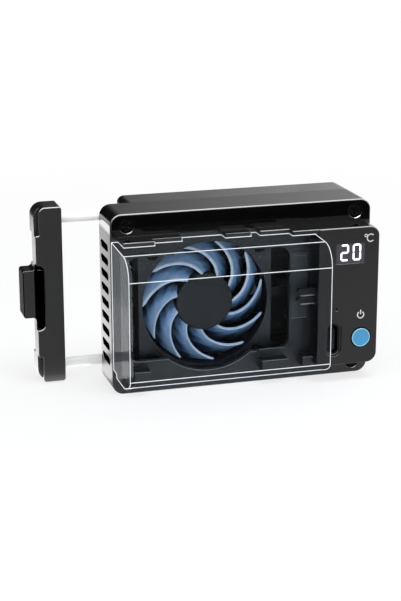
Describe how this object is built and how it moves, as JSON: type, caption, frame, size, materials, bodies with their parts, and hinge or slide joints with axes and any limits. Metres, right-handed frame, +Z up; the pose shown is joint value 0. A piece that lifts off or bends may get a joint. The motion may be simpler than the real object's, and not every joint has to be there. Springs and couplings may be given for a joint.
{
  "type": "camera cooling fan",
  "caption": "Flat clip-on cooler for the back of a camera: fan behind a clear battery case, thermoelectric cold plate, spring clamp arm on guide rods and a control block.",
  "frame": {"origin": "centre of the case's camera side, on the plane where the cooling pad touches the camera", "axes": "+X to the right seen from the front, +Y from the fan towards the camera, +Z up"},
  "size_m": [0.1, 0.046, 0.053],
  "materials": {
    "case_black": "satin, fine texture",
    "housing_black": "satin, fine texture",
    "control_black": "satin",
    "panel_black": "satin",
    "board_green": "solder mask",
    "display_body": "matte",
    "display_pane": "polished, smoked",
    "socket_metal": "satin",
    "switch_black": "matte",
    "button_blue": "satin",
    "light_pipe": "polished",
    "contact_black": "matte",
    "contact_metal": "polished",
    "fan_black": "satin",
    "bush_brass": "oiled",
    "stator_steel": "wound poles",
    "impeller_black": "satin",
    "shaft_steel": "ground",
    "magnet_grey": "matte",
    "fan_screw_black": "black oxide",
    "lead_black": "matte",
    "sink_aluminium": "anodised",
    "ceramic_white": "ceramic",
    "foam_grey": "foam",
    "plate_aluminium": "milled",
    "pad_silicone": "soft",
    "sensor_glass": "gloss",
    "stack_screw_steel": "plain",
    "driver_green": "solder mask",
    "link_black": "matte",
    "bush_polymer": "satin",
    "rod_chrome": "polished",
    "collar_steel": "turned",
    "spring_steel": "wound",
    "arm_black": "satin",
    "grub_steel": "black oxide",
    "arm_pad_rubber": "soft",
    "case_screw_black": "black oxide",
    "cover_screw_steel": "plain",
    "clear_plastic": "clear, polished"
  },
  "bodies": {
    "case": {"front_frame": "case_black", "rear_housing": "housing_black", "control_cover": "control_black", "contact_panel": "panel_black", "control_board": "board_green", "display_module": "display_body", "display_window": "display_pane", "usb_port": "socket_metal", "power_switch": "switch_black", "status_led": "light_pipe", "contact_block": "contact_black", "battery_contacts": "contact_metal", "fan_frame": "fan_black", "fan_bush": "bush_brass", "fan_stator": "stator_steel", "fan_screws": "fan_screw_black", "fan_lead": "lead_black", "heat_sink": "sink_aluminium", "peltier_module": "ceramic_white", "insulation_frame": "foam_grey", "cold_plate": "plate_aluminium", "contact_pad": "pad_silicone", "temperature_sensor": "sensor_glass", "stack_screws": "stack_screw_steel", "driver_board": "driver_green", "board_link": "link_black", "rod_bushes": "bush_polymer", "clamp_springs": "spring_steel", "front_screws": "case_screw_black", "cover_screws": "cover_screw_steel"},
    "impeller": {"fan_impeller": "impeller_black", "fan_shaft": "shaft_steel", "magnet_ring": "magnet_grey"},
    "clamp": {"clamp_arm": "arm_black", "guide_rods": "rod_chrome", "rod_collars": "collar_steel", "arm_screws": "grub_steel", "arm_pads": "arm_pad_rubber"},
    "battery_case": {"clear_battery_case": "clear_plastic"},
    "button": {"power_button": "button_blue"}
  },
  "joints": [
    {"name": "fan_spin", "type": "hinge", "parent": "case", "child": "impeller", "pos_m": [-0.01, -0.018, -0.0023], "axis": [0, 1, 0], "continuous": true},
    {"name": "arm_slide", "type": "slide", "parent": "case", "child": "clamp", "axis": [1, 0, 0], "range_m": [0, 0.0178], "stiffness_N_per_m": 300, "springref_m": -0.01, "deforming": ["clamp_springs"]},
    {"name": "case_slide", "type": "slide", "parent": "case", "child": "battery_case", "axis": [-1, 0, 0], "range_m": [0, 0.062]},
    {"name": "button_press", "type": "slide", "parent": "case", "child": "button", "axis": [0, 1, 0], "range_m": [0, 0.0005], "stiffness_N_per_m": 400, "springref_m": -0.0005}
  ]
}
